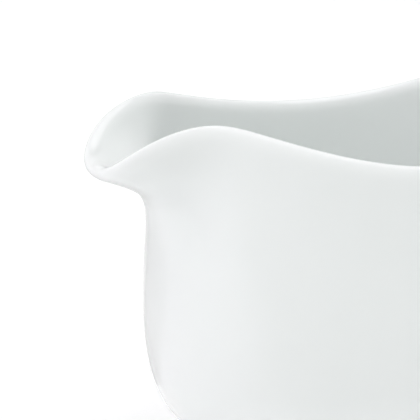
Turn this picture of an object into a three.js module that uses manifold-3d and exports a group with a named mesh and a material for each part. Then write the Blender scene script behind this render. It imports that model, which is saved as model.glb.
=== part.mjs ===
// Porcelain cream jug: a bellied body with a wavy rim, a broad lip drawn out to pour, a foot ring,
// and a loop handle luted on with two fillets of slip.
//
// Millimetres, +Z up, standing on z = 0. The lip points to -X and the handle to +X. The wall is worked
// out in turns about the body's axis: an angle of 0 is the middle of the lip, and PI is the handle.

import * as THREE from 'three';
import { ParametricGeometry } from 'three/addons/geometries/ParametricGeometry.js';
import { mergeVertices } from 'three/addons/utils/BufferGeometryUtils.js';
import Module from 'manifold-3d';

// ---- Driving dimensions -------------------------------------------------------------------------

const AXIS_X = -7.3; // the body's axis, set so that the whole jug is centred over the origin
const WALL = 2.6; // thickness of the potted wall
const GAP = 0.3; // left between pieces that meet

const BELLY = { radius: 41, z: 33.3 }; // widest ring, to the outside of the wall
const FLOOR_Z = 4.4; // middle of the floor's thickness
const SHOULDER = 0.86; // how far the belly's upright pulls its underside down, as a part of its depth
const FLAT = 0.79; // how far the floor's level pulls it out, as a part of the belly's radius

const RIM = {
  radius: 37.55, // middle of the wall, away from the lip
  meanZ: 67.05,
  waves: [-1.15, 5.3, -0.65, 0.15], // height of one, two, three and four waves round the rim
  lean: -2, // degrees, outward from upright
  edge: 2.4, // how far the rounded edge stands past the end of the wall
};
const LIP = {
  reach: 8.4, // of its edge, past its flanks
  halfWidth: 20.8, // degrees, of the drawn-out edge
  squareness: 3.4,
  flankReach: 5.5, // of the broad sweep that leads into it, past the rim's own radius
  flankHalfWidth: 29.4, // degrees
  flankSquareness: 2,
  drop: 10.85, // of its edge, below the wave of the rim
  dropHalfWidth: 16.7, // degrees
  dropSquareness: 2.4,
  lean: 71, // degrees, outward from upright
  flareHalfWidth: 20.8, // degrees, of the wall that leans out to meet it
  flareSquareness: 2.9,
};
// How hard the wall's curve is pulled along the belly's upright and along the rim's lean, as parts of
// the height between them, at the sides and at the lip.
const PULL = { sideBelly: 0.22, lipBelly: 0.86, sideRim: 0.56, lipRim: 0.44 };

const SPOUT_CUT = { halfAngle: 27, z: 46 }; // where the lip is parted from the body

const FOOT = { inner: 20.5, outer: 25.5, chamfer: 0.9 };

const HANDLE = {
  width: 10, // across the jug
  thickness: 5.4, // across the loop
  upperZ: 66, // where its middle line would meet the wall
  lowerZ: 27,
  upperRise: 0.12, // climb per millimetre as it leaves the wall
  lowerRise: 0.38,
  reach: 26.5, // of its back, from the wall
  backZ: 55, // where its back stands upright
  crownZ: 70.5, // pulls the loop's top up
  heelZ: 42, // pulls the loop's lower half down
  upperPull: 9, // how far each end holds its first direction
  lowerPull: 10,
};
const JOINT = { length: 4.2, skirt: 2.6 }; // skirt: how far the fillet spreads on the wall, all round

// ---- Fineness of the meshes ---------------------------------------------------------------------

const TURN_STEPS = 76;
const WALL_ROWS = 19;
const EDGE_ROWS = 4;
const HANDLE_STEPS = 30;
const HANDLE_SIDES = 18; // of its oval section
const JOINT_ROWS = 6; // along a fillet
const TINY = 1e-4;

// ---- Shape of the wall --------------------------------------------------------------------------

// 1 in the middle of the lip, falling to 0 at its sides; squareness sharpens its shoulders.
function bump(angle, halfWidth, squareness) {
  return Math.exp(-((Math.abs(angle) / THREE.MathUtils.degToRad(halfWidth)) ** squareness));
}

function rimHeight(angle) {
  const wave = RIM.waves.reduce((sum, height, i) => sum + height * Math.cos((i + 1) * angle), 0);
  return RIM.meanZ + wave - LIP.drop * bump(angle, LIP.dropHalfWidth, LIP.dropSquareness);
}

// The middle of the wall's thickness in the half-plane at this angle, as two curves of radius and
// height: the floor up to the belly, then the belly up to the rim.
function wallCurves(angle) {
  const bellyRadius = BELLY.radius - WALL / 2;
  const depth = BELLY.z - FLOOR_Z;
  const lower = new THREE.CubicBezierCurve(
    new THREE.Vector2(0, FLOOR_Z),
    new THREE.Vector2(FLAT * bellyRadius, FLOOR_Z),
    new THREE.Vector2(bellyRadius, BELLY.z - SHOULDER * depth),
    new THREE.Vector2(bellyRadius, BELLY.z),
  );
  const flare = bump(angle, LIP.flareHalfWidth, LIP.flareSquareness);
  const lean = THREE.MathUtils.degToRad(THREE.MathUtils.lerp(RIM.lean, LIP.lean, flare));
  const edge = LIP.reach * bump(angle, LIP.halfWidth, LIP.squareness);
  const flank = LIP.flankReach * bump(angle, LIP.flankHalfWidth, LIP.flankSquareness);
  const rim = new THREE.Vector2(RIM.radius + edge + flank, rimHeight(angle));
  const height = rim.y - BELLY.z;
  const bellyPull = THREE.MathUtils.lerp(PULL.sideBelly, PULL.lipBelly, flare) * height;
  const rimPull = THREE.MathUtils.lerp(PULL.sideRim, PULL.lipRim, flare) * height;
  const upper = new THREE.CubicBezierCurve(
    lower.v3,
    new THREE.Vector2(bellyRadius, BELLY.z + bellyPull),
    new THREE.Vector2(rim.x - Math.sin(lean) * rimPull, rim.y - Math.cos(lean) * rimPull),
    rim,
  );
  return { lower, upper };
}

// A point in the middle of the wall. station runs from 0 on the axis to 1 at the belly and 2 at the rim.
function middle(angle, station) {
  const { lower, upper } = wallCurves(angle);
  const p = station < 1 ? lower.getPoint(station) : upper.getPoint(station - 1);
  return new THREE.Vector3(AXIS_X - p.x * Math.cos(angle), p.x * Math.sin(angle), p.y);
}

// Directions at a point of the wall: up its section, and square to the wall, pointing out of the jug.
function wallFrame(angle, station) {
  const high = Math.min(station + TINY, 2);
  const low = Math.max(high - 2 * TINY, 0);
  const up = middle(angle, high).sub(middle(angle, low)).normalize();
  if (station === 0) return { up, out: new THREE.Vector3(0, 0, -1) };
  const around = middle(angle + TINY, station).sub(middle(angle - TINY, station));
  return { up, out: new THREE.Vector3().crossVectors(up, around).normalize() };
}

// A point on the skin of the wall: row 0 is the middle of the underside, and the rows climb the outside,
// round the rim's edge and run down the inside to the middle of the floor.
function skin(angle, row) {
  const rowsUp = WALL_ROWS + EDGE_ROWS;
  if (row > WALL_ROWS && row < rowsUp) {
    const { up, out } = wallFrame(angle, 2);
    const round = (Math.PI * (row - WALL_ROWS)) / EDGE_ROWS;
    return middle(angle, 2)
      .addScaledVector(out, (Math.cos(round) * WALL) / 2)
      .addScaledVector(up, Math.sin(round) * RIM.edge);
  }
  const climbing = row <= WALL_ROWS;
  const station = (2 * (climbing ? row : rowsUp + WALL_ROWS - row)) / WALL_ROWS;
  const { out } = wallFrame(angle, station);
  return middle(angle, station).addScaledVector(out, (climbing ? WALL : -WALL) / 2);
}

// A point outside the wall, at this angle and station, lifted off it by a distance.
function outside(angle, station, lift) {
  return middle(angle, station).addScaledVector(wallFrame(angle, station).out, WALL / 2 + lift);
}

// The station where a measure of the wall, rising from one station to another, reaches a value.
function stationWhere(measure, value, from, to) {
  const half = (from + to) / 2;
  if (to - from < TINY) return half;
  const above = measure(half) < value;
  return stationWhere(measure, value, above ? half : from, above ? to : half);
}

// ---- Meshes and solids --------------------------------------------------------------------------

const wasm = await Module();
wasm.setup();

// Welds a geometry's shared corners and drops the flat triangles that its poles leave.
function weld(geometry) {
  const bare = new THREE.BufferGeometry();
  bare.setAttribute('position', geometry.getAttribute('position'));
  bare.setIndex(geometry.getIndex());
  const welded = mergeVertices(bare, TINY);
  const corners = Array.from(welded.getIndex().array);
  const kept = [];
  for (let i = 0; i < corners.length; i += 3) {
    const [a, b, c] = corners.slice(i, i + 3);
    if (a !== b && b !== c && c !== a) kept.push(a, b, c);
  }
  welded.setIndex(kept);
  return welded;
}

function toSolid(geometry) {
  const welded = weld(geometry);
  return new wasm.Manifold(
    new wasm.Mesh({
      numProp: 3,
      vertProperties: new Float32Array(welded.getAttribute('position').array),
      triVerts: new Uint32Array(welded.getIndex().array),
    }),
  );
}

function toGeometry(solid) {
  const mesh = solid.getMesh();
  const geometry = new THREE.BufferGeometry();
  geometry.setAttribute('position', new THREE.BufferAttribute(mesh.vertProperties, 3));
  geometry.setIndex(new THREE.BufferAttribute(mesh.triVerts, 1));
  geometry.computeVertexNormals();
  return geometry;
}

// ---- Sub-parts ----------------------------------------------------------------------------------

// The whole potted wall, floor to rim and out along the lip, before the lip is parted from the body.
function pottedWall() {
  const rows = 2 * WALL_ROWS + EDGE_ROWS;
  const surface = (u, v, target) => {
    const turn = 1 - 2 * u;
    const angle = Math.PI * Math.sign(turn) * Math.abs(turn) ** 1.35; // closer steps near the lip
    target.copy(skin(angle, Math.round(v * rows)));
  };
  return new ParametricGeometry(surface, TURN_STEPS, rows);
}

// The wedge of space that holds the lip. It is wider and deeper by grow on every side.
function spoutWedge(grow) {
  const halfAngle = THREE.MathUtils.degToRad(SPOUT_CUT.halfAngle);
  const length = 2 * BELLY.radius;
  const tip = grow / Math.sin(halfAngle);
  const wedge = new THREE.Shape([
    new THREE.Vector2(AXIS_X + tip, 0),
    new THREE.Vector2(AXIS_X - length, (length + tip) * Math.tan(halfAngle)),
    new THREE.Vector2(AXIS_X - length, -(length + tip) * Math.tan(halfAngle)),
  ]);
  const geometry = new THREE.ExtrudeGeometry(wedge, { depth: BELLY.z * 2, bevelEnabled: false });
  return geometry.translate(0, 0, SPOUT_CUT.z - grow);
}

// A ring whose top follows the jug's underside and whose bottom is one flat annulus.
function footRing() {
  const radiusAt = (station) => AXIS_X - outside(0, station, GAP).x;
  const from = stationWhere(radiusAt, FOOT.inner, 0, 1);
  const to = stationWhere(radiusAt, FOOT.outer, 0, 1);
  const top = [0, 0.25, 0.5, 0.75, 1].map((part) => {
    const p = outside(0, THREE.MathUtils.lerp(from, to, part), GAP);
    return new THREE.Vector2(AXIS_X - p.x, p.z);
  });
  const profile = [
    new THREE.Vector2(FOOT.inner, FOOT.chamfer),
    new THREE.Vector2(FOOT.inner + FOOT.chamfer, 0),
    new THREE.Vector2(FOOT.outer - FOOT.chamfer, 0),
    new THREE.Vector2(FOOT.outer, FOOT.chamfer),
    ...top.reverse(),
    new THREE.Vector2(FOOT.inner, FOOT.chamfer),
  ];
  return new THREE.LatheGeometry(profile, TURN_STEPS).rotateX(Math.PI / 2).translate(AXIS_X, 0, 0);
}

// Where the handle's middle line meets the wall at this height on the handle's side.
function wallAt(z) {
  const heightAt = (station) => outside(Math.PI, station, 0).z;
  return outside(Math.PI, stationWhere(heightAt, z, 0.3, 2), 0);
}

// The handle's middle line from one fillet to the other, with the way it leaves each of them.
function handleLine() {
  const upperWall = wallAt(HANDLE.upperZ);
  const upperWay = new THREE.Vector3(1, 0, HANDLE.upperRise).normalize();
  const lowerWay = new THREE.Vector3(1, 0, HANDLE.lowerRise).normalize();
  const start = upperWall.clone().addScaledVector(upperWay, JOINT.length);
  const end = wallAt(HANDLE.lowerZ).addScaledVector(lowerWay, JOINT.length);
  const backX = upperWall.x + HANDLE.reach;
  const back = new THREE.Vector3(backX, 0, HANDLE.backZ);
  const line = new THREE.CurvePath();
  line.add(
    new THREE.CubicBezierCurve3(
      start,
      start.clone().addScaledVector(upperWay, HANDLE.upperPull),
      new THREE.Vector3(backX, 0, HANDLE.crownZ),
      back,
    ),
  );
  line.add(
    new THREE.CubicBezierCurve3(
      back,
      new THREE.Vector3(backX, 0, HANDLE.heelZ),
      end.clone().addScaledVector(lowerWay, HANDLE.lowerPull),
      end,
    ),
  );
  return { line, start, end, upperWay, lowerWay };
}

// The handle's section, swept along its middle line.
function handleLoop({ line }) {
  const oval = new THREE.Shape();
  oval.absellipse(0, 0, HANDLE.width / 2, HANDLE.thickness / 2, 0, 2 * Math.PI);
  return new THREE.ExtrudeGeometry(oval, {
    steps: HANDLE_STEPS,
    curveSegments: HANDLE_SIDES / 2, // an ellipse gets two segments for each
    extrudePath: line,
  });
}

// A fillet of slip between the wall and one end of the handle. Each side of it is a quarter of an ellipse
// that leaves the handle along way and runs out on to the wall.
function slipJoint(handleEnd, way) {
  const across = new THREE.Vector3(0, 1, 0);
  const over = new THREE.Vector3().crossVectors(across, way);
  const centre = handleEnd.clone().addScaledVector(way, -GAP);
  // 1 on the fillet, and less where a row crosses the face on the handle or the face on the wall.
  const spans = [0, ...Array(JOINT_ROWS + 1).fill(1), 0.5, 0];
  const rows = spans.length - 1;
  // Slides a point back along the handle's way until it is one gap short of the wall.
  const ontoWall = (point) => {
    const stopped = point.clone();
    for (let i = 0; i < 12; i += 1) {
      const limit = wallAt(stopped.z).x + GAP - AXIS_X;
      const x = AXIS_X + Math.sqrt(limit ** 2 - stopped.y ** 2);
      stopped.addScaledVector(way, (x - stopped.x) / way.x);
    }
    return stopped;
  };
  const surface = (u, v, target) => {
    const row = Math.round(v * rows);
    const section = new THREE.Vector3()
      .addScaledVector(across, (Math.cos(2 * Math.PI * u) * HANDLE.width) / 2)
      .addScaledVector(over, (Math.sin(2 * Math.PI * u) * HANDLE.thickness) / 2);
    const spread = section.clone().setLength(section.length() + JOINT.skirt);
    if (row <= 1) {
      target.copy(centre).addScaledVector(section, spans[row]);
    } else if (row > JOINT_ROWS) {
      target.copy(ontoWall(centre.clone().addScaledVector(spread, spans[row])));
    } else {
      const turn = (Math.PI / 2) * ((row - 1) / JOINT_ROWS);
      const start = centre.clone().add(section);
      const under = ontoWall(start);
      const edge = ontoWall(centre.clone().add(spread));
      target
        .copy(under)
        .addScaledVector(start.sub(under), 1 - Math.sin(turn))
        .addScaledVector(edge.sub(under), 1 - Math.cos(turn));
    }
  };
  return new ParametricGeometry(surface, HANDLE_SIDES, rows);
}

// ---- The jug ------------------------------------------------------------------------------------

const glaze = { color: 0xf2f5f3, roughness: 0.12, metalness: 0 };
const bisque = { color: 0xe9e5dc, roughness: 0.75, metalness: 0 };

const jug = new THREE.Group();
jug.name = 'cream_jug';

function addPart(name, geometry, finish) {
  const mesh = new THREE.Mesh(geometry, new THREE.MeshStandardMaterial(finish));
  mesh.name = name;
  jug.add(mesh);
}

const wall = toSolid(pottedWall());
const handle = handleLine();

addPart('body', toGeometry(wall.subtract(toSolid(spoutWedge(GAP / 2)))), glaze);
addPart('pouring_spout', toGeometry(wall.intersect(toSolid(spoutWedge(-GAP / 2)))), glaze);
addPart('foot_ring', weld(footRing()), bisque);
addPart('handle', weld(handleLoop(handle)), glaze);
addPart('upper_handle_joint', weld(slipJoint(handle.start, handle.upperWay)), glaze);
addPart('lower_handle_joint', weld(slipJoint(handle.end, handle.lowerWay)), glaze);

export default jug;
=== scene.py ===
"""Looks of a porcelain cream jug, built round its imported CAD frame.

The lip points to -X and the handle to +X. The sizes of the jug and its finishes are in millimetres and
degrees, because that is how a potter gives them; the studio's are in metres and degrees. Meshes are made
in metres, in the frame's own axes. An angle about the body's axis is 0 at the middle of the lip, and a
station of the wall runs from 0 in the middle of the floor to 1 at the belly and 2 at the rim.
"""

import logging
import math
from collections.abc import Callable, Iterable
from dataclasses import dataclass, fields
from enum import Enum

import bpy
import numpy as np
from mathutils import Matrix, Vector
from mathutils.bvhtree import BVHTree


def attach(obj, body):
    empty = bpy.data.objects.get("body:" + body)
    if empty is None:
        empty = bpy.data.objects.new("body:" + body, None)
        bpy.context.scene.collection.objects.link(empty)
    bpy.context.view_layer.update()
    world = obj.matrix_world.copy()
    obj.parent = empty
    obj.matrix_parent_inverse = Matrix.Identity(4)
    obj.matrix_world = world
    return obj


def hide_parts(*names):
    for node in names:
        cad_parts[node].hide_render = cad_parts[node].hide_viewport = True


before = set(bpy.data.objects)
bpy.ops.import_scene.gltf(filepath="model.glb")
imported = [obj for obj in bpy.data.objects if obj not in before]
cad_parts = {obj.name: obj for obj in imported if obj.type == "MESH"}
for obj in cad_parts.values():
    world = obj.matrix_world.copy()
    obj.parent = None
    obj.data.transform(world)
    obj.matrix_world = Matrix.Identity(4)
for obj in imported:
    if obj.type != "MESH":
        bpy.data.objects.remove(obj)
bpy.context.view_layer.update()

MM = 0.001
BODY = "root"
NUDGE = 0.002  # how far off a rule's neighbour is taken, to find which way the rule runs
LEAST = 1e-6  # keeps a direction from vanishing at a pole
REACH = 0.03  # how far a joint looks for the wall that it is thrown on to, in metres
BELOW = -0.01  # a height under the paper, in metres
NOISE_SPAN = (0.3, 0.7)  # where nearly all of a noise's values lie
log = logging.getLogger("cream_jug")

Node = bpy.types.Node
Socket = bpy.types.NodeSocket


class Slot(Enum):
    """The record's material slots."""

    GLAZED = "glazed_porcelain"
    FOOT = "foot_porcelain"


class Seen(Enum):
    """What a card of white paper is there for."""

    IN_GLOSS = "in_gloss"
    BEHIND = "behind"


# ---- Node trees --------------------------------------------------------------------------------------


@dataclass(frozen=True, eq=False)
class Term:
    """A number or point that a node tree works out, which can be used in sums."""

    recipe: "Recipe"
    socket: Socket

    def __add__(self, other: "Term | float") -> "Term":
        """The sum of two terms."""
        return self.recipe.sum("ADD", self, other)

    def __sub__(self, other: "Term | float") -> "Term":
        """This term less another."""
        return self.recipe.sum("SUBTRACT", self, other)

    def __rsub__(self, other: float) -> "Term":
        """A number less this term."""
        return self.recipe.sum("SUBTRACT", other, self)

    def __mul__(self, other: "Term | float") -> "Term":
        """The product of two terms."""
        return self.recipe.sum("MULTIPLY", self, other)

    def __truediv__(self, other: "Term | float") -> "Term":
        """This term over another."""
        return self.recipe.sum("DIVIDE", self, other)

    def __pow__(self, other: "Term | float") -> "Term":
        """This term to a power."""
        return self.recipe.sum("POWER", self, other)

    def __neg__(self) -> "Term":
        """This term with its sign turned."""
        return self.recipe.sum("MULTIPLY", self, -1.0)

    __radd__ = __add__
    __rmul__ = __mul__


class Tree:
    """A node tree, with short ways to add and link its nodes."""

    def __init__(self, tree: bpy.types.NodeTree) -> None:
        """Takes hold of a tree."""
        self.tree = tree

    def node(self, kind: str, inputs: dict[str | int, object] | None = None, **settings: object) -> Node:
        """Adds a node.

        Args:
            kind: The node's type name.
            inputs: Terms, sockets or values for its inputs, by name or place.
            settings: Its other properties.

        Returns:
            The node.
        """
        made = self.tree.nodes.new(kind)
        for key, value in settings.items():
            setattr(made, key, value)
        for key, value in (inputs or {}).items():
            self.feed(made.inputs[key], value)
        return made

    def feed(self, socket: Socket, value: object) -> None:
        """Links a term or socket to an input, or sets the input to a plain value.

        Args:
            socket: The input.
            value: What it takes.
        """
        source = value.socket if isinstance(value, Term) else value
        if isinstance(source, bpy.types.NodeSocket):
            self.tree.links.new(source, socket)
        else:
            socket.default_value = source


class Recipe(Tree):
    """A geometry node tree with named inputs, written as sums of terms."""

    def __init__(self, name: str, inputs: Iterable[str], output: tuple[str, str]) -> None:
        """Starts the tree.

        Args:
            name: The tree's name.
            inputs: Names of its number inputs.
            output: Name and socket type of its one output.
        """
        super().__init__(bpy.data.node_groups.new(name, "GeometryNodeTree"))
        face = self.tree.interface
        for label in inputs:
            face.new_socket(name=label, in_out="INPUT", socket_type="NodeSocketFloat")
        face.new_socket(name=output[0], in_out="OUTPUT", socket_type=output[1])
        self.source = self.tree.nodes.new("NodeGroupInput")
        self.result = self.tree.nodes.new("NodeGroupOutput")

    def given(self, label: str) -> Term:
        """The tree's own input of this name."""
        return Term(self, self.source.outputs[label])

    def sum(self, operation: str, *operands: "Term | float") -> Term:
        """One step of arithmetic."""
        made = self.node("ShaderNodeMath", dict(enumerate(operands)), operation=operation)
        return Term(self, made.outputs[0])

    def along(self, operation: str, *operands: "Term | tuple[float, ...]") -> Term:
        """One step of arithmetic on points."""
        made = self.node("ShaderNodeVectorMath", dict(enumerate(operands)), operation=operation)
        return Term(self, made.outputs["Vector"])

    def scaled(self, point: Term, by: "Term | float") -> Term:
        """A point times a number."""
        made = self.node("ShaderNodeVectorMath", {0: point, "Scale": by}, operation="SCALE")
        return Term(self, made.outputs["Vector"])

    def point(self, x: "Term | float", y: "Term | float", z: "Term | float") -> Term:
        """A point from its three coordinates."""
        return Term(self, self.node("ShaderNodeCombineXYZ", {0: x, 1: y, 2: z}).outputs[0])

    def clamped(self, value: Term, low: float = 0.0, high: float = 1.0) -> Term:
        """A value kept between two limits."""
        return self.sum("MINIMUM", self.sum("MAXIMUM", value, low), high)

    def bezier(self, t: Term, points: "list[Term | float]") -> Term:
        """One coordinate of a cubic curve.

        Args:
            t: How far along the curve, from 0 to 1.
            points: That coordinate of its four points.

        Returns:
            The coordinate at t.
        """
        s = 1.0 - t
        first, second, third, last = points
        return s * s * s * first + 3.0 * s * s * t * second + 3.0 * s * t * t * third + t * t * t * last

    def use(self, rule: "Recipe", inputs: dict[str, object]) -> Term:
        """Uses another recipe as a group in this one.

        Args:
            rule: The other recipe.
            inputs: Terms or values for its inputs, by name.

        Returns:
            Its output.
        """
        group = self.node("GeometryNodeGroup")
        group.node_tree = rule.tree
        for label, value in inputs.items():
            self.feed(group.inputs[label], value)
        return Term(self, group.outputs[0])

    def grid(self, columns: int, rows: int) -> tuple[Socket, Term, Term]:
        """A sheet of points that a rule can shape, each marked with its column and row.

        Args:
            columns: Faces across the sheet.
            rows: Faces up the sheet.

        Returns:
            The sheet, and each point's column and row.
        """
        size = {"Size X": 1.0, "Size Y": 1.0, "Vertices X": columns + 1, "Vertices Y": rows + 1}
        sheet = self.node("GeometryNodeMeshGrid", size).outputs["Mesh"]
        place = self.node("GeometryNodeInputPosition").outputs[0]
        parts = self.node("ShaderNodeSeparateXYZ", {0: place})
        column = (Term(self, parts.outputs[0]) + 0.5) * float(columns)
        row = (Term(self, parts.outputs[1]) + 0.5) * float(rows)
        for name, value in (("column", column), ("row", row)):
            mark = {"Geometry": sheet, "Name": name, "Value": value}
            sheet = self.node("GeometryNodeStoreNamedAttribute", mark, data_type="FLOAT").outputs[0]
        return sheet, column, row

    def finish(self, geometry: Socket, material: bpy.types.Material) -> None:
        """Ends the tree: instances made real, and the finish set.

        Args:
            geometry: The shape that the tree made.
            material: Its finish.
        """
        real = self.node("GeometryNodeRealizeInstances", {"Geometry": geometry})
        dressed = self.node(
            "GeometryNodeSetMaterial", {"Geometry": real.outputs["Geometry"], "Material": material}
        )
        self.feed(self.result.inputs[0], dressed.outputs["Geometry"])

    def run(self, inputs: dict[str, object]) -> bpy.types.Mesh:
        """Makes the tree's mesh.

        Args:
            inputs: Values for the tree's inputs, by name.

        Returns:
            A plain mesh, with the tree's modifier gone.
        """
        carrier = put(self.tree.name, bpy.data.meshes.new(self.tree.name))
        modifier = carrier.modifiers.new(self.tree.name, "NODES")
        modifier.node_group = self.tree
        for item in self.tree.interface.items_tree:
            if item.in_out == "INPUT" and item.name in inputs:
                modifier[item.identifier] = inputs[item.name]
        bpy.context.view_layer.update()
        ready = carrier.evaluated_get(bpy.context.evaluated_depsgraph_get())
        mesh = bpy.data.meshes.new_from_object(ready)
        carrier.modifiers.remove(modifier)
        bpy.data.objects.remove(carrier)
        return mesh


class Shader(Tree):
    """A material's node tree."""

    def __init__(self, name: str) -> None:
        """Starts a material that holds one Principled shader.

        Args:
            name: The material's name.
        """
        self.material = bpy.data.materials.new(name)
        self.material.use_nodes = True
        super().__init__(self.material.node_tree)
        self.surface = self.tree.nodes["Principled BSDF"]
        self.place = self.node("ShaderNodeTexCoord").outputs["Object"]

    def noise(self, spacing: float, detail: float = 2.0) -> Socket:
        """Soft random patches.

        Args:
            spacing: Distance from patch to patch, in millimetres.
            detail: Finer layers on top of them.

        Returns:
            The patches' strength, about 0.5.
        """
        made = self.node(
            "ShaderNodeTexNoise", {"Vector": self.place, "Scale": 1.0 / (spacing * MM), "Detail": detail}
        )
        return made.outputs["Fac"]

    def ramp(self, value: Socket, low: float, high: float, start: float, end: float) -> Socket:
        """A value stretched from one range to another, and kept inside it.

        Args:
            value: The value.
            low: Where its own range starts.
            high: Where its own range ends.
            start: What low becomes.
            end: What high becomes.

        Returns:
            The stretched value.
        """
        made = self.node(
            "ShaderNodeMapRange",
            {"Value": value, "From Min": low, "From Max": high, "To Min": start, "To Max": end},
        )
        return made.outputs["Result"]

    def blend(self, amount: Socket, first: tuple[float, ...], second: tuple[float, ...]) -> Socket:
        """A colour between two.

        Args:
            amount: 0 for the first colour, 1 for the second.
            first: The first colour.
            second: The second colour.

        Returns:
            The mixed colour.
        """
        sides = {"Factor": amount, 6: first, 7: second}
        return self.node("ShaderNodeMix", sides, data_type="RGBA").outputs[2]

    def relief(self, heights: list[tuple[Socket, float]]) -> Socket:
        """Fine relief in the surface.

        Args:
            heights: Each pattern, with its full height in millimetres.

        Returns:
            The surface's direction.
        """
        normal = None
        for pattern, height in heights:
            bump = self.node("ShaderNodeBump", {"Height": pattern, "Distance": height * MM, "Strength": 1.0})
            if normal is not None:
                self.feed(bump.inputs["Normal"], normal)
            normal = bump.outputs["Normal"]
        return normal


# ---- Finishes ----------------------------------------------------------------------------------------


@dataclass(frozen=True)
class ClearGlaze:
    """White porcelain under a clear glaze, which runs thin on edges and pools cooler in hollows."""

    thin: tuple[float, ...] = (0.868, 0.887, 0.883, 1.0)
    pooled: tuple[float, ...] = (0.768, 0.802, 0.79, 1.0)
    cloud_spacing: float = 38.0
    cloud_depth: float = 0.12
    wave_spacing: float = 9.0
    wave_height: float = 0.006
    peel_spacing: float = 1.3
    peel_height: float = 0.0006
    clay_smooth: float = 0.38
    clay_coarse: float = 0.46
    clay_gloss: float = 0.25
    coat_roughness: float = 0.09
    coat_ior: float = 1.52

    def make(self) -> bpy.types.Material:
        """Mixes the glaze.

        Returns:
            The glaze as a material.
        """
        shader = Shader("clear_glaze_on_porcelain")
        depth = shader.node("ShaderNodeAttribute", attribute_name="glaze_depth").outputs["Fac"]
        clouds = shader.noise(self.cloud_spacing, 3.0)
        cloud = shader.ramp(clouds, *NOISE_SPAN, -self.cloud_depth, self.cloud_depth)
        pooled = shader.node("ShaderNodeMath", {0: depth, 1: cloud}, operation="ADD", use_clamp=True)
        colour = shader.blend(pooled.outputs[0], self.thin, self.pooled)
        waves = (shader.noise(self.wave_spacing, 1.0), self.wave_height)
        peel = (shader.noise(self.peel_spacing, 2.0), self.peel_height)
        relief = shader.relief([waves, peel])
        clay = shader.noise(self.wave_spacing, 3.0)
        surface = shader.surface
        shader.feed(surface.inputs["Base Color"], colour)
        roughness = shader.ramp(clay, *NOISE_SPAN, self.clay_smooth, self.clay_coarse)
        shader.feed(surface.inputs["Roughness"], roughness)
        surface.inputs["Specular IOR Level"].default_value = self.clay_gloss
        surface.inputs["Coat Weight"].default_value = 1.0
        surface.inputs["Coat Roughness"].default_value = self.coat_roughness
        surface.inputs["Coat IOR"].default_value = self.coat_ior
        shader.feed(surface.inputs["Normal"], relief)
        shader.feed(surface.inputs["Coat Normal"], relief)
        return shader.material


@dataclass(frozen=True)
class GroundBisque:
    """Bare fired clay, wiped free of glaze and ground flat where the jug stands."""

    pale: tuple[float, ...] = (0.80, 0.775, 0.73, 1.0)
    worn: tuple[float, ...] = (0.66, 0.62, 0.56, 1.0)
    patch_spacing: float = 6.0
    patch_span: tuple[float, float] = (0.35, 0.7)
    grain_spacing: float = 0.35
    grain_height: float = 0.03
    smooth: float = 0.55
    coarse: float = 0.85

    def make(self) -> bpy.types.Material:
        """Grinds the clay.

        Returns:
            The bare clay as a material.
        """
        shader = Shader("ground_bisque")
        patches = shader.ramp(shader.noise(self.patch_spacing, 4.0), *self.patch_span, 0.0, 1.0)
        grain = shader.noise(self.grain_spacing, 3.0)
        shader.feed(shader.surface.inputs["Base Color"], shader.blend(patches, self.pale, self.worn))
        roughness = shader.ramp(grain, *NOISE_SPAN, self.smooth, self.coarse)
        shader.feed(shader.surface.inputs["Roughness"], roughness)
        shader.feed(shader.surface.inputs["Normal"], shader.relief([(grain, self.grain_height)]))
        return shader.material


@dataclass(frozen=True)
class PaperSweep:
    """The pale paper that the jug stands on, lit a little from below."""

    white: tuple[float, ...] = (0.93, 0.93, 0.93, 1.0)
    glow: float = 0.03
    roughness: float = 0.8
    gloss: float = 0.2
    fibre_spacing: float = 2.5
    fibre_height: float = 0.01

    def make(self) -> bpy.types.Material:
        """Makes the paper.

        Returns:
            The paper as a material.
        """
        shader = Shader("white_paper")
        surface = shader.surface
        surface.inputs["Base Color"].default_value = self.white
        surface.inputs["Roughness"].default_value = self.roughness
        surface.inputs["Specular IOR Level"].default_value = self.gloss
        surface.inputs["Emission Color"].default_value = (1.0, 1.0, 1.0, 1.0)
        surface.inputs["Emission Strength"].default_value = self.glow
        fibres = shader.noise(self.fibre_spacing, 3.0)
        shader.feed(surface.inputs["Normal"], shader.relief([(fibres, self.fibre_height)]))
        return shader.material


# ---- Meshes ------------------------------------------------------------------------------------------


def glaze_depth(mesh: bpy.types.Mesh, passes: int = 10) -> np.ndarray:
    """How deep the glaze lies on a mesh: 0 on sharp edges, about 0.45 on a flat, 1 in hollows.

    Args:
        mesh: The mesh, whose normals point out.
        passes: How often neighbouring depths are averaged, as the glaze flows.

    Returns:
        A depth for each of its points.
    """
    flat_depth = 0.45
    fall = 0.0022
    count = len(mesh.vertices)
    places = np.empty(count * 3)
    mesh.vertices.foreach_get("co", places)
    places = places.reshape(-1, 3)
    normals = np.empty(count * 3)
    mesh.vertex_normals.foreach_get("vector", normals)
    normals = normals.reshape(-1, 3)
    edges = np.empty(len(mesh.edges) * 2, dtype=np.int64)
    mesh.edges.foreach_get("vertices", edges)
    first, second = edges.reshape(-1, 2).T
    step = places[second] - places[first]
    turn = ((normals[second] - normals[first]) * step).sum(1) / np.maximum((step**2).sum(1), 1e-12)
    joined = np.maximum(np.bincount(first, minlength=count) + np.bincount(second, minlength=count), 1)
    bend = (np.bincount(first, turn, count) + np.bincount(second, turn, count)) / joined
    depth = np.clip(flat_depth - fall * bend, 0.0, 1.0)
    for _ in range(passes):
        spread = np.bincount(first, depth[second], count) + np.bincount(second, depth[first], count)
        depth = 0.5 * depth + 0.5 * spread / joined
    return depth


def store_depth(mesh: bpy.types.Mesh, depth: np.ndarray) -> None:
    """Keeps each point's glaze depth on a mesh, for its finish to read."""
    attribute = mesh.attributes.new("glaze_depth", "FLOAT", "POINT")
    attribute.data.foreach_set("value", depth.astype(np.float32))


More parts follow.
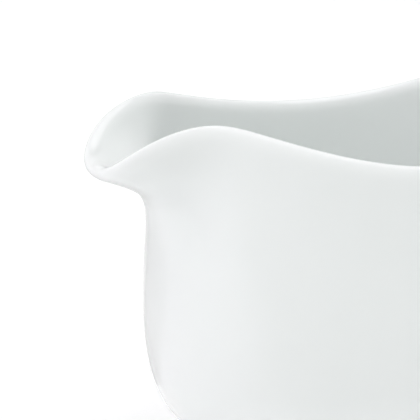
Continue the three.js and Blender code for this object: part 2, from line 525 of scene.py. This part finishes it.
def smooth_mesh(name: str, places: np.ndarray, faces: list[tuple[int, ...]]) -> bpy.types.Mesh:
    """A smooth-shaded mesh of these places and faces, with unused places left out.

    Args:
        name: The mesh's name.
        places: One row of coordinates for each place, in metres.
        faces: Numbers of the places round each face, seen from outside.

    Returns:
        The mesh.
    """
    used = sorted({i for face in faces for i in face})
    new = {old: i for i, old in enumerate(used)}
    mesh = bpy.data.meshes.new(name)
    mesh.from_pydata(places[used].tolist(), [], [[new[i] for i in face] for face in faces])
    mesh.polygons.foreach_set("use_smooth", [True] * len(faces))
    mesh.update()
    return mesh


def skin_depth(places: np.ndarray, faces: list[tuple[int, ...]]) -> np.ndarray:
    """How deep the glaze lies on a skin before it is parted, so that it doesn't thin along the cuts.

    Args:
        places: Points of the skin.
        faces: All of its faces.

    Returns:
        A depth for each point.
    """
    whole = smooth_mesh("whole_skin", places, faces)
    depth = np.zeros(len(places))
    depth[sorted({i for face in faces for i in face})] = glaze_depth(whole)
    bpy.data.meshes.remove(whole)
    return depth


def grid_places(mesh: bpy.types.Mesh, columns: int, rows: int) -> np.ndarray:
    """The points of a shaped sheet, by column, row and coordinate; the sheet is then let go.

    Args:
        mesh: A mesh that a recipe made from its grid.
        columns: Faces across the sheet.
        rows: Faces up the sheet.

    Returns:
        The points, in metres.
    """
    count = len(mesh.vertices)
    places = np.empty(count * 3)
    mesh.vertices.foreach_get("co", places)
    marks = {}
    for name in ("column", "row"):
        marks[name] = np.empty(count, dtype=np.float32)
        mesh.attributes[name].data.foreach_get("value", marks[name])
    order = np.lexsort((np.rint(marks["row"]), np.rint(marks["column"])))
    bpy.data.meshes.remove(mesh)
    return places.reshape(-1, 3)[order].reshape(columns + 1, rows + 1, 3)


def grid_normals(grid: np.ndarray, first: Vector, last: Vector) -> np.ndarray:
    """Directions square to a sheet that meets itself and ends in two poles.

    Args:
        grid: Its points by column, row and coordinate; the last column repeats the first.
        first: The direction at the pole of row 0.
        last: The direction at the other pole.

    Returns:
        A direction for each point, out of the clay, without the repeated column.
    """
    ring = grid[:-1]
    around = np.roll(ring, -1, axis=0) - np.roll(ring, 1, axis=0)
    square = np.cross(np.gradient(ring, axis=1), around)
    square[:, 0], square[:, -1] = first, last
    return square / np.maximum(np.linalg.norm(square, axis=2, keepdims=True), 1e-12)


def shaded(
    name: str,
    places: np.ndarray,
    shades: np.ndarray,
    depths: np.ndarray,
    skin: list[tuple[int, ...]],
    cut: list[tuple[int, ...]],
    material: bpy.types.Material,
) -> bpy.types.Mesh:
    """A mesh shaded by its whole skin's directions, with flat faces where it was parted.

    Args:
        name: The mesh's name.
        places: Points of the whole skin.
        shades: Their directions.
        depths: How deep the glaze lies on them.
        skin: The mesh's faces on the skin.
        cut: Its faces where it was parted.
        material: Its finish.

    Returns:
        The mesh.
    """
    outline = skin + cut
    mesh = smooth_mesh(name, places, outline)
    used = sorted({i for face in outline for i in face})
    directions = []
    for polygon in mesh.polygons:
        flat = polygon.index >= len(skin)
        for vertex in polygon.vertices:
            directions.append(tuple(polygon.normal) if flat else tuple(shades[used[vertex]]))
    store_depth(mesh, depths[used])
    mesh.normals_split_custom_set(directions)
    mesh.materials.append(material)
    return mesh


def put(name: str, data: bpy.types.ID) -> bpy.types.Object:
    """Puts a mesh, light or camera in the scene.

    Args:
        name: The object's name.
        data: The mesh, light or camera.

    Returns:
        The object.
    """
    thing = bpy.data.objects.new(name, data)
    bpy.context.scene.collection.objects.link(thing)
    return thing


def settle(name: str, mesh: bpy.types.Mesh, slot: Slot, *nodes: str) -> bpy.types.Object:
    """Puts a finished mesh in the scene in place of its CAD nodes.

    Args:
        name: The piece's name.
        mesh: Its mesh, in the frame's own place.
        slot: The record's slot for its finish.
        nodes: The CAD nodes it stands for.

    Returns:
        The piece.
    """
    piece = put(name, mesh)
    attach(piece, BODY)
    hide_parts(*nodes)
    log.info("%s: %d faces, %s", name, len(mesh.polygons), slot.value)
    return piece


class Ruled:
    """Something that a rule shapes from its dataclass fields."""

    def sizes(self) -> dict[str, float]:
        """The sizes that the rule takes, by name."""
        return {item.name: getattr(self, item.name) for item in fields(self)}


# ---- The potted wall: body and lip -------------------------------------------------------------------


@dataclass
class PottedWall(Ruled):
    """The body and its pouring lip, which one rule shapes and one cut parts."""

    axis_x: float = -7.3
    thickness: float = 2.6
    belly_radius: float = 41.0
    belly_z: float = 33.3
    floor_z: float = 4.4
    shoulder: float = 0.86
    flat: float = 0.79
    rim_radius: float = 37.55
    rim_z: float = 67.05
    wave_1: float = -1.15
    wave_2: float = 5.3
    wave_3: float = -0.65
    wave_4: float = 0.15
    rim_lean: float = -2.0
    rim_edge: float = 2.4
    lip_reach: float = 8.4
    lip_width: float = 20.8
    lip_squareness: float = 3.4
    flank_reach: float = 5.5
    flank_width: float = 29.4
    flank_squareness: float = 2.0
    lip_drop: float = 10.85
    drop_width: float = 16.7
    drop_squareness: float = 2.4
    lip_lean: float = 71.0
    flare_width: float = 20.8
    flare_squareness: float = 2.9
    side_belly_pull: float = 0.22
    lip_belly_pull: float = 0.86
    side_rim_pull: float = 0.56
    lip_rim_pull: float = 0.44

    def __post_init__(self) -> None:
        """Sets how the wall is divided: columns about the axis, rows up one side and down the other."""
        self.zones = ((27.0, 36), (60.0, 30), (180.0, 54))  # angle reached, and columns to reach it
        self.lower_rows = 36
        self.upper_rows = 60
        self.edge_rows = 12
        self.parting_row = 54  # where the lip leaves the body, among the rows up one side

    @property
    def columns(self) -> int:
        """Columns all the way round."""
        return 2 * sum(count for _, count in self.zones)

    @property
    def rows_up(self) -> int:
        """Rows up one side of the wall."""
        return self.lower_rows + self.upper_rows

    @property
    def rows(self) -> int:
        """Rows up the outside, over the rim and down the inside."""
        return 2 * self.rows_up + self.edge_rows

    def rule(self) -> Recipe:
        """The rule of the wall.

        Returns:
            A recipe from an angle and a station to a point in the middle of the wall's thickness.
        """
        rule = Recipe("wall_rule", ["angle", "station", *self.sizes()], ("Position", "NodeSocketVector"))
        size = {name: rule.given(name) for name in self.sizes()}
        angle, station = rule.given("angle"), rule.given("station")
        turn = rule.sum("ABSOLUTE", angle)

        def bump(width: Term, squareness: Term) -> Term:
            """1 in the middle of the lip, falling to 0 at its sides."""
            return rule.sum("EXPONENT", -((turn / rule.sum("RADIANS", width)) ** squareness))

        rim_z = size["rim_z"] - size["lip_drop"] * bump(size["drop_width"], size["drop_squareness"])
        for count in range(1, 5):
            rim_z = rim_z + size[f"wave_{count}"] * rule.sum("COSINE", turn * float(count))
        rim_r = size["rim_radius"] + size["lip_reach"] * bump(size["lip_width"], size["lip_squareness"])
        rim_r = rim_r + size["flank_reach"] * bump(size["flank_width"], size["flank_squareness"])
        flare = bump(size["flare_width"], size["flare_squareness"])
        lean = rule.sum("RADIANS", size["rim_lean"] + (size["lip_lean"] - size["rim_lean"]) * flare)
        belly_r = size["belly_radius"] - size["thickness"] * 0.5
        belly_z, floor_z = size["belly_z"], size["floor_z"]
        height = rim_z - belly_z
        up = height * (size["side_belly_pull"] + (size["lip_belly_pull"] - size["side_belly_pull"]) * flare)
        back = height * (size["side_rim_pull"] + (size["lip_rim_pull"] - size["side_rim_pull"]) * flare)
        low, high = rule.clamped(station), rule.clamped(station - 1.0)
        radius = rule.bezier(low, [0.0, size["flat"] * belly_r, belly_r, belly_r]) - belly_r
        radius = radius + rule.bezier(high, [belly_r, belly_r, rim_r - rule.sum("SINE", lean) * back, rim_r])
        lower_z = [floor_z, floor_z, belly_z - size["shoulder"] * (belly_z - floor_z), belly_z]
        upper_z = [belly_z, belly_z + up, rim_z - rule.sum("COSINE", lean) * back, rim_z]
        z = rule.bezier(low, lower_z) - belly_z + rule.bezier(high, upper_z)
        x = size["axis_x"] - radius * rule.sum("COSINE", angle)
        y = radius * rule.sum("SINE", angle)
        rule.feed(rule.result.inputs[0], rule.scaled(rule.point(x, y, z), MM))
        return rule

    def surface(self, material: bpy.types.Material) -> np.ndarray:
        """The whole skin of the wall as a grid of points, by column and row, in metres.

        Args:
            material: The finish its tree sets.

        Returns:
            Points by column, row and coordinate. The last column repeats the first.
        """
        skin = Recipe("potted_wall", self.sizes(), ("Geometry", "NodeSocketGeometry"))
        rule = self.rule()
        size = {name: skin.given(name) for name in self.sizes()}
        sheet, column_term, row = skin.grid(self.columns, self.rows)
        half_turn = column_term * (2.0 / self.columns) - 1.0
        share = skin.sum("ABSOLUTE", half_turn) * float(self.columns // 2)
        turn, column, reached = 0.0, 0, 0.0
        for limit, count in self.zones:
            turn = skin.clamped((share - float(column)) / float(count)) * math.radians(limit - reached) + turn
            column, reached = column + count, limit
        angle = turn * skin.sum("SIGN", half_turn)
        level = skin.sum("MINIMUM", row, float(self.rows) - row)
        low = skin.clamped(level / float(self.lower_rows))
        high = skin.clamped((level - float(self.lower_rows)) / float(self.upper_rows))
        station = low + high
        over = skin.clamped((row - float(self.rows_up)) / float(self.edge_rows)) * math.pi

        middle = skin.use(rule, {"angle": angle, "station": station, **size})
        beside = skin.use(rule, {"angle": angle + NUDGE, "station": station, **size})
        way = 1.0 - 2.0 * skin.sum("GREATER_THAN", station, 1.0)
        above = skin.use(rule, {"angle": angle, "station": station + way * NUDGE, **size})
        climb = skin.along("NORMALIZE", skin.scaled(skin.along("SUBTRACT", above, middle), way))
        level_way = skin.point(skin.sum("SINE", angle), skin.sum("COSINE", angle), 0.0)
        around = skin.along("ADD", skin.along("SUBTRACT", beside, middle), skin.scaled(level_way, LEAST))
        outward = skin.along("NORMALIZE", skin.along("CROSS_PRODUCT", climb, around))
        half = skin.sum("COSINE", over) * size["thickness"] * (0.5 * MM)
        edge = skin.sum("SINE", over) * size["rim_edge"] * MM
        point = skin.along("ADD", middle, skin.scaled(outward, half))
        point = skin.along("ADD", point, skin.scaled(climb, edge))
        placed = skin.node("GeometryNodeSetPosition", {"Geometry": sheet, "Position": point})
        skin.finish(placed.outputs[0], material)
        return grid_places(skin.run(self.sizes()), self.columns, self.rows)

    def parts(self, material: bpy.types.Material) -> dict[str, bpy.types.Mesh]:
        """The body's mesh and the lip's, closed where they are parted, with one shading across the cut.

        Args:
            material: Their glaze.

        Returns:
            The two meshes, by name.
        """
        grid = self.surface(material)
        normals = grid_normals(grid, Vector((0.0, 0.0, -1.0)), Vector((0.0, 0.0, 1.0)))
        last = self.columns * (self.rows + 1)

        def number(column: int, row: int) -> int:
            """The number of a grid point, with the seam joined and each pole a single point.

            Args:
                column: Its column.
                row: Its row.

            Returns:
                Its number in the list of points.
            """
            if row in (0, self.rows):
                return row
            return (column % self.columns) * (self.rows + 1) + row

        half = self.zones[0][1]
        lip_columns = range(self.columns // 2 - half, self.columns // 2 + half)
        lip_rows = range(self.parting_row, self.rows - self.parting_row)
        skin: dict[bool, list[tuple[int, ...]]] = {True: [], False: []}
        for column in range(self.columns):
            for row in range(self.rows):
                corners = [(column, row), (column, row + 1), (column + 1, row + 1), (column + 1, row)]
                face = tuple(dict.fromkeys(number(*corner) for corner in corners))
                skin[column in lip_columns and row in lip_rows].append(face)
        cut = []
        for column in lip_columns:
            low, high = self.parting_row, self.rows - self.parting_row
            cut.append([(column, low), (column + 1, low), (column + 1, high), (column, high)])
        for column, turned in ((lip_columns[0], True), (lip_columns[-1] + 1, False)):
            for row in range(self.parting_row, self.rows // 2):
                low, high = row, self.rows - row
                face = [(column, low), (column, low + 1), (column, high - 1), (column, high)]
                cut.append(face[::-1] if turned else face)
        closing = [tuple(dict.fromkeys(number(*corner) for corner in face)) for face in cut]
        places = grid[:-1].reshape(last, 3)
        shades = normals.reshape(last, 3)
        depths = skin_depth(places, skin[False] + skin[True])
        turned = [face[::-1] for face in closing]
        return {
            "body": shaded("body", places, shades, depths, skin[False], turned, material),
            "pouring_spout": shaded("pouring_spout", places, shades, depths, skin[True], closing, material),
        }


# ---- The handle and its slip joints ------------------------------------------------------------------


@dataclass
class LoopHandle(Ruled):
    """A pulled loop handle, with the slip that joins it to the body drawn out into fillets."""

    axis_x: float = -7.3
    top_x: float = 36.06
    top_z: float = 66.5
    top_rise: float = 0.12
    foot_x: float = 37.41
    foot_z: float = 28.49
    foot_rise: float = 0.38
    back_x: float = 58.39
    back_z: float = 55.0
    crown_z: float = 70.5
    heel_z: float = 42.0
    top_pull: float = 9.0
    foot_pull: float = 10.0
    width: float = 10.0
    thickness: float = 5.4
    skirt: float = 2.6
    sunk: float = 0.25

    def __post_init__(self) -> None:
        """Sets how the strap is divided: sides round it, and rows along it from one joint to the other."""
        self.sides = 56
        self.joint_rows = 14
        self.tube_rows = 120

    @property
    def rows(self) -> int:
        """Rows from the closed end in the wall at the top to the one at the foot."""
        return 2 * (self.joint_rows + 2) + self.tube_rows

    def path(self) -> Recipe:
        """The rule of the strap's middle line.

        Returns:
            A recipe from a station, 0 at the top end, 1 at the back and 2 at the foot, to a point.
        """
        rule = Recipe("strap_path", ["station", *self.sizes()], ("Position", "NodeSocketVector"))
        size = {name: rule.given(name) for name in self.sizes()}
        upper = rule.clamped(rule.given("station"))
        lower = rule.clamped(rule.given("station") - 1.0)

        def leaving(x: Term, z: Term, rise: Term, pull: Term) -> tuple[Term, Term]:
            """The point at which a strap that leaves the wall on this slope is pulled."""
            length = rule.sum("SQRT", rise * rise + 1.0)
            return x + pull / length, z + pull * rise / length

        top_x, top_z = leaving(size["top_x"], size["top_z"], size["top_rise"], size["top_pull"])
        foot_x, foot_z = leaving(size["foot_x"], size["foot_z"], size["foot_rise"], size["foot_pull"])
        back_x, back_z = size["back_x"], size["back_z"]
        x = rule.bezier(upper, [size["top_x"], top_x, back_x, back_x]) - back_x
        x = x + rule.bezier(lower, [back_x, back_x, foot_x, size["foot_x"]])
        z = rule.bezier(upper, [size["top_z"], top_z, size["crown_z"], back_z]) - back_z
        z = z + rule.bezier(lower, [back_z, size["heel_z"], foot_z, size["foot_z"]])
        rule.feed(rule.result.inputs[0], rule.scaled(rule.point(x, 0.0, z), MM))
        return rule

    def surface(self, material: bpy.types.Material, body: bpy.types.Object) -> np.ndarray:
        """The skin of the strap and both joints, by side and row, in metres.

        Args:
            material: The finish its tree sets.
            body: The piece whose wall the joints are thrown on to.

        Returns:
            Points by side, row and coordinate. The last side repeats the first.
        """
        skin = Recipe("pulled_strap", self.sizes(), ("Geometry", "NodeSocketGeometry"))
        path = self.path()
        size = {name: skin.given(name) for name in self.sizes()}
        sheet, side, row = skin.grid(self.sides, self.rows)
        angle = side * (-2.0 * math.pi / self.sides)
        first = float(self.joint_rows + 2)
        last = first + self.tube_rows
        station = skin.clamped((row - first) / float(self.tube_rows)) * 2.0
        drawn = skin.clamped((first - row) / float(self.joint_rows))
        drawn = drawn + skin.clamped((row - last) / float(self.joint_rows))
        end_row = skin.sum("MINIMUM", row, float(self.rows) - row)
        closed = 1.0 - skin.sum("LESS_THAN", end_row, 0.5)
        under = skin.sum("LESS_THAN", end_row, 1.5)

        top_half = skin.sum("LESS_THAN", station, 1.0)
        way = top_half * 2.0 - 1.0
        here = skin.use(path, {"station": station, **size})
        near = skin.use(path, {"station": station + way * NUDGE, **size})
        towards = skin.along("NORMALIZE", skin.along("SUBTRACT", here, near))
        across = skin.scaled(skin.along("CROSS_PRODUCT", towards, (0.0, 1.0, 0.0)), way)
        out_wide = skin.scaled(skin.point(0.0, 1.0, 0.0), skin.sum("SINE", angle) * size["width"] * 0.5)
        out_thick = skin.scaled(across, skin.sum("COSINE", angle) * size["thickness"] * 0.5)
        section = skin.scaled(skin.along("ADD", out_wide, out_thick), closed * MM)
        on_strap = skin.along("ADD", here, section)
        grown = skin.scaled(skin.along("NORMALIZE", section), size["skirt"] * closed * MM)

        wall = skin.node("GeometryNodeObjectInfo", {"Object": body}, transform_space="ORIGINAL")
        thrown = []
        for start in (on_strap, skin.along("ADD", on_strap, grown)):
            ray = {
                "Target Geometry": wall.outputs["Geometry"],
                "Source Position": start,
                "Ray Direction": towards,
                "Ray Length": REACH,
            }
            hit = skin.node("GeometryNodeRaycast", ray, data_type="FLOAT")
            thrown.append((Term(skin, hit.outputs["Hit Position"]), Term(skin, hit.outputs["Hit Normal"])))
        (under_strap, _), (edge, wall_normal) = thrown
        quarter = drawn * (0.5 * math.pi)
        up_strap, up_wall = 1.0 - skin.sum("SINE", quarter), 1.0 - skin.sum("COSINE", quarter)
        from_strap = skin.scaled(skin.along("SUBTRACT", on_strap, under_strap), up_strap)
        from_wall = skin.scaled(skin.along("SUBTRACT", edge, under_strap), up_wall)
        fillet = skin.along("ADD", under_strap, skin.along("ADD", from_strap, from_wall))
        sink = skin.scaled(wall_normal, size["sunk"] * under * -MM)
        least_drawn = 0.0001
        joined = skin.sum("GREATER_THAN", drawn, least_drawn)
        shift = skin.scaled(skin.along("SUBTRACT", skin.along("ADD", fillet, sink), on_strap), joined)
        point = skin.along("ADD", on_strap, shift)
        placed = skin.node("GeometryNodeSetPosition", {"Geometry": sheet, "Position": point})
        skin.finish(placed.outputs[0], material)
        return grid_places(skin.run(self.sizes()), self.sides, self.rows)

    def parts(self, material: bpy.types.Material, body: bpy.types.Object) -> dict[str, bpy.types.Mesh]:
        """The strap's mesh and its two joints', closed where they are parted.

        Args:
            material: Their glaze.
            body: The piece whose wall they join.

        Returns:
            The three meshes, by name.
        """
        grid = self.surface(material, body)
        inward = Vector((-1.0, 0.0, 0.0))
        places = grid[:-1].reshape(-1, 3)
        shades = grid_normals(grid, inward, inward).reshape(-1, 3)

        def number(side: int, row: int) -> int:
            """The number of a grid point, with the seam joined and each closed end a single point."""
            return row if row in (0, self.rows) else (side % self.sides) * (self.rows + 1) + row

        top, foot = self.joint_rows + 2, self.rows - self.joint_rows - 2
        spans = {"upper_handle_joint": (0, top), "handle": (top, foot)}
        spans["lower_handle_joint"] = (foot, self.rows)

        def band(start: int, end: int) -> list[tuple[int, ...]]:
            """The skin's faces between two rows.

            Args:
                start: The first row.
                end: The last row.

            Returns:
                The faces, as numbers of their points.
            """
            faces = []
            for side in range(self.sides):
                for row in range(start, end):
                    corners = [(side, row), (side, row + 1), (side + 1, row + 1), (side + 1, row)]
                    faces.append(tuple(dict.fromkeys(number(*corner) for corner in corners)))
            return faces

        depths = skin_depth(places, band(0, self.rows))
        made = {}
        for name, (start, end) in spans.items():
            cut = []
            if start != 0:
                cut.append(tuple(number(side, start) for side in range(self.sides)))
            if end != self.rows:
                cut.append(tuple(number(side, end) for side in reversed(range(self.sides))))
            made[name] = shaded(name, places, shades, depths, band(start, end), cut, material)
        return made


# ---- The foot ----------------------------------------------------------------------------------------


def quarter_turn(steps: int) -> list[float]:
    """Angles that divide a quarter of a turn into this many steps, in radians."""
    return [math.radians(90.0 * step / steps) for step in range(steps + 1)]


@dataclass
class FootRing:
    """The turned foot: glazed sides, and a bare standing face."""

    axis_x: float = -7.3
    inner: float = 20.5
    outer: float = 25.5
    corner: float = 0.8
    fillet: float = 1.7
    glaze_end: float = 0.95
    glaze_step: float = 0.14
    glaze_edge: float = 0.12
    bare_step: float = 0.02
    face_inset: float = 1.0
    face_spacing: float = 0.7
    face_points: int = 4
    sunk: float = 0.2
    fillet_steps: int = 10
    glaze_steps: int = 3
    corner_steps: int = 6
    columns: int = 216

    @property
    def glazed_points(self) -> int:
        """Points of a side's outline down to the end of its glaze."""
        return self.fillet_steps + self.glaze_steps + 3

    def side(self, radius: float, out: float, under: Callable[[float], float]) -> list[tuple[float, float]]:
        """Half of the ring's outline, from under the body down to the standing face.

        Args:
            radius: The side's radius.
            out: 1 for the outer side, -1 for the inner one.
            under: The height of the body's underside at a radius.

        Returns:
            Radius and height of each point.
        """
        line = [(radius + out * self.fillet, under(radius + out * self.fillet) + self.sunk)]
        top, edge = under(radius), under(radius + out * self.fillet)
        for turn in reversed(quarter_turn(self.fillet_steps)):
            down, away = 1.0 - math.sin(turn), 1.0 - math.cos(turn)
            z = top - self.fillet * down + (edge - top) * away
            line.append((radius + out * self.fillet * away, z))
        line.append((radius, self.glaze_end + self.glaze_edge))
        for turn in quarter_turn(self.glaze_steps)[1:]:
            step_in = self.glaze_step * (1.0 - math.cos(turn))
            line.append((radius - out * step_in, self.glaze_end + self.glaze_edge * (1.0 - math.sin(turn))))
        bare = radius - out * (self.glaze_step + self.bare_step)
        for turn in quarter_turn(self.corner_steps):
            in_by = self.corner * (1.0 - math.cos(turn))
            line.append((bare - out * in_by, self.corner * (1.0 - math.sin(turn))))
        return line

    def mesh(
        self, glaze: bpy.types.Material, bare: bpy.types.Material, body: bpy.types.Object
    ) -> bpy.types.Mesh:
        """The ring's mesh.

        Args:
            glaze: The finish of its sides.
            bare: The finish of its standing face.
            body: The piece that it stands under.

        Returns:
            The mesh.
        """
        shape = body.data
        tree = BVHTree.FromPolygons([v.co for v in shape.vertices], [p.vertices for p in shape.polygons])

        def under(radius: float) -> float:
            """The height of the body's underside at a radius, in millimetres."""
            start = Vector(((self.axis_x + radius) * MM, 0.0, BELOW))
            return tree.ray_cast(start, Vector((0.0, 0.0, 1.0)))[0].z / MM

        outer, inner = self.side(self.outer, 1.0, under), self.side(self.inner, -1.0, under)
        start = self.outer - self.corner - self.face_inset
        middle = [(start - self.face_spacing * step, 0.0) for step in range(self.face_points)]
        line = outer + middle + inner[::-1]
        unglazed = range(self.glazed_points - 1, len(line) - self.glazed_points)
        places = []
        for column in range(self.columns):
            turn = 2.0 * math.pi * column / self.columns
            for radius, z in line:
                x = self.axis_x + radius * math.cos(turn)
                places.append((x * MM, radius * math.sin(turn) * MM, z * MM))
        count = len(line)
        faces, finish = [], []
        for column in range(self.columns):
            beside = (column + 1) % self.columns
            for step in range(count):
                ahead = (step + 1) % count
                corners = [(column, step), (column, ahead), (beside, ahead), (beside, step)]
                faces.append(tuple(a * count + b for a, b in corners))
                finish.append(int(step in unglazed))
        mesh = smooth_mesh("foot_ring", np.array(places), faces)
        store_depth(mesh, glaze_depth(mesh, passes=3))
        mesh.materials.append(glaze)
        mesh.materials.append(bare)
        mesh.polygons.foreach_set("material_index", finish)
        return mesh


# ---- The studio --------------------------------------------------------------------------------------


@dataclass
class Lamp:
    """A soft box: a square light on a stand, turned to face the jug."""

    name: str
    azimuth: float
    elevation: float
    distance: float
    width: float
    height: float
    power: float
    colour: tuple[float, float, float] = (1.0, 1.0, 1.0)

    def place(self, aim: Vector) -> None:
        """Sets the light up.

        Args:
            aim: The point it faces.
        """
        data = bpy.data.lights.new(self.name, "AREA")
        data.shape = "RECTANGLE"
        data.size, data.size_y = self.width, self.height
        data.energy = self.power
        data.color = self.colour
        lamp = put(self.name, data)
        lamp.visible_camera = False
        stand_off(lamp, aim, away(self.azimuth, self.elevation), self.distance)


def away(azimuth: float, elevation: float) -> Vector:
    """The way from the jug to something at this azimuth and elevation, where azimuth 0 is at -Y."""
    turn, lift = math.radians(azimuth), math.radians(elevation)
    return Vector((math.sin(turn) * math.cos(lift), -math.cos(turn) * math.cos(lift), math.sin(lift)))


def stand_off(thing: bpy.types.Object, aim: Vector, back: Vector, distance: float) -> None:
    """Stands a lamp or camera away from a point, and turns it to face the point.

    Args:
        thing: The lamp or camera.
        aim: The point.
        back: The way from the point to it.
        distance: How far off it stands.
    """
    thing.location = aim + back * distance
    thing.rotation_mode = "QUATERNION"
    thing.rotation_quaternion = (-back).to_track_quat("-Z", "Y")


@dataclass
class Card:
    """A lit card bent round the jug, with its foot laid on the paper.

    It is seen either in the jug's gloss alone, or behind the jug alone, and it lights nothing.
    """

    name: str
    azimuth: float
    spread: float
    light: float
    inner: float = 0.07
    radius: float = 0.2
    height: float = 0.32
    lift: float = 0.001
    steps: int = 32
    tint: tuple[float, float, float, float] = (1.0, 1.0, 1.0, 1.0)
    seen: Seen = Seen.IN_GLOSS

    def place(self) -> None:
        """Stands the card on the paper."""
        line = ((self.inner, self.lift), (self.radius, self.lift), (self.radius, self.height))
        places = []
        for step in range(self.steps + 1):
            back = away(self.azimuth + self.spread * (2.0 * step / self.steps - 1.0), 0.0)
            for reach, z in line:
                places.append((back.x * reach, back.y * reach, z))
        faces = []
        for i in range(self.steps):
            low, high = 3 * i, 3 * (i + 1)
            faces += [(low + j, high + j, high + j + 1, low + j + 1) for j in range(2)]
        mesh = bpy.data.meshes.new(self.name)
        mesh.from_pydata(places, [], faces)
        shader = Shader(self.name)
        shader.surface.inputs["Base Color"].default_value = (0.0, 0.0, 0.0, 1.0)
        shader.surface.inputs["Emission Color"].default_value = self.tint
        shader.surface.inputs["Emission Strength"].default_value = self.light
        mesh.materials.append(shader.material)
        card = put(self.name, mesh)
        card.visible_diffuse = card.visible_shadow = False
        card.visible_camera = self.seen is Seen.BEHIND
        card.visible_glossy = self.seen is Seen.IN_GLOSS


@dataclass
class Studio:
    """White paper below and behind, soft boxes and a camera with a long lens."""

    floor_size: float = 24.0
    room: tuple[float, float, float, float] = (0.96, 0.985, 1.0, 1.0)
    room_strength: float = 0.02
    lamp_aim: tuple[float, float, float] = (0.0, 0.0, 0.04)
    aim: tuple[float, float, float] = (-0.0341, 0.0093, 0.0496)
    azimuth: float = -21.11
    elevation: float = 11.07
    distance: float = 0.9007
    lens: float = 411.0

    def lamps(self) -> list[Lamp]:
        """The soft boxes, seen from the middle of the jug.

        Returns:
            The lamps, ready to place.
        """
        return [
            Lamp("left_soft_box", self.azimuth - 100.0, 12.0, 1.0, 2.2, 0.9, 10.4, (1.0, 0.97, 1.0)),
            Lamp("front_soft_box", self.azimuth + 5.0, 30.0, 1.6, 1.5, 1.2, 8.9, (0.96, 1.0, 0.97)),
            Lamp("right_soft_box", self.azimuth + 100.0, 25.0, 1.2, 1.6, 1.2, 5.8),
            Lamp("back_soft_box", self.azimuth + 180.0, 25.0, 1.4, 1.6, 1.2, 8.5, (0.96, 1.0, 0.97)),
            Lamp("top_soft_box", self.azimuth, 80.0, 1.2, 1.4, 1.4, 11.6, (1.0, 0.98, 1.0)),
        ]

    def cards(self) -> list[Card]:
        """The cards that shape the reflections, bright at the left and grey elsewhere, and the backdrop.

        Returns:
            The cards, ready to place.
        """
        return [
            Card("left_edge_card", self.azimuth - 131.0, 19.5, 0.62),
            Card("left_card", self.azimuth - 82.0, 30.5, 0.95, tint=(0.98, 0.96, 1.0, 1.0)),
            Card("front_card", self.azimuth - 16.0, 36.5, 0.57, tint=(1.0, 0.95, 0.98, 1.0)),
            Card("right_card", self.azimuth + 59.0, 39.5, 0.56, tint=(0.95, 1.0, 0.98, 1.0)),
            Card("back_card", self.azimuth + 154.0, 56.5, 0.82),
            Card("backdrop", 0.0, 180.0, 1.0, inner=0.6, radius=11.9, height=9.0, seen=Seen.BEHIND),
        ]

    def set_up(self, paper: bpy.types.Material) -> None:
        """Lays the paper and puts up the lights and the camera.

        Args:
            paper: The floor's finish.
        """
        half = self.floor_size / 2.0
        corners = [(-half, -half, 0.0), (half, -half, 0.0), (half, half, 0.0), (-half, half, 0.0)]
        mesh = bpy.data.meshes.new("paper_floor")
        mesh.from_pydata(corners, [], [(0, 1, 2, 3)])
        mesh.materials.append(paper)
        put("paper_floor", mesh)
        world = bpy.data.worlds.new("white_room")
        world.use_nodes = True
        background = world.node_tree.nodes["Background"]
        background.inputs["Color"].default_value = self.room
        background.inputs["Strength"].default_value = self.room_strength
        bpy.context.scene.world = world
        for lamp in self.lamps():
            lamp.place(Vector(self.lamp_aim))
        for card in self.cards():
            card.place()
        self.camera()
        view = bpy.context.scene.view_settings
        view.view_transform, view.look = "Standard", "None"

    def camera(self) -> None:
        """Puts the camera in its place."""
        data = bpy.data.cameras.new("long_lens")
        data.lens, data.sensor_width = self.lens, 36.0
        data.clip_start, data.clip_end = 0.01, 100.0
        camera = put("long_lens", data)
        stand_off(camera, Vector(self.aim), away(self.azimuth, self.elevation), self.distance)
        bpy.context.scene.camera = camera


def main() -> None:
    """Builds the jug, its stage, its lights and its camera."""
    logging.basicConfig(level=logging.INFO, format="%(message)s")
    glaze, bisque, paper = ClearGlaze().make(), GroundBisque().make(), PaperSweep().make()
    wall = {}
    for name, mesh in PottedWall().parts(glaze).items():
        wall[name] = settle(f"glazed_{name}", mesh, Slot.GLAZED, name)
    for name, mesh in LoopHandle().parts(glaze, wall["body"]).items():
        settle(f"glazed_{name}", mesh, Slot.GLAZED, name)
    settle("turned_foot_ring", FootRing().mesh(glaze, bisque, wall["body"]), Slot.FOOT, "foot_ring")
    Studio().set_up(paper)


if __name__ == "__main__":
    main()
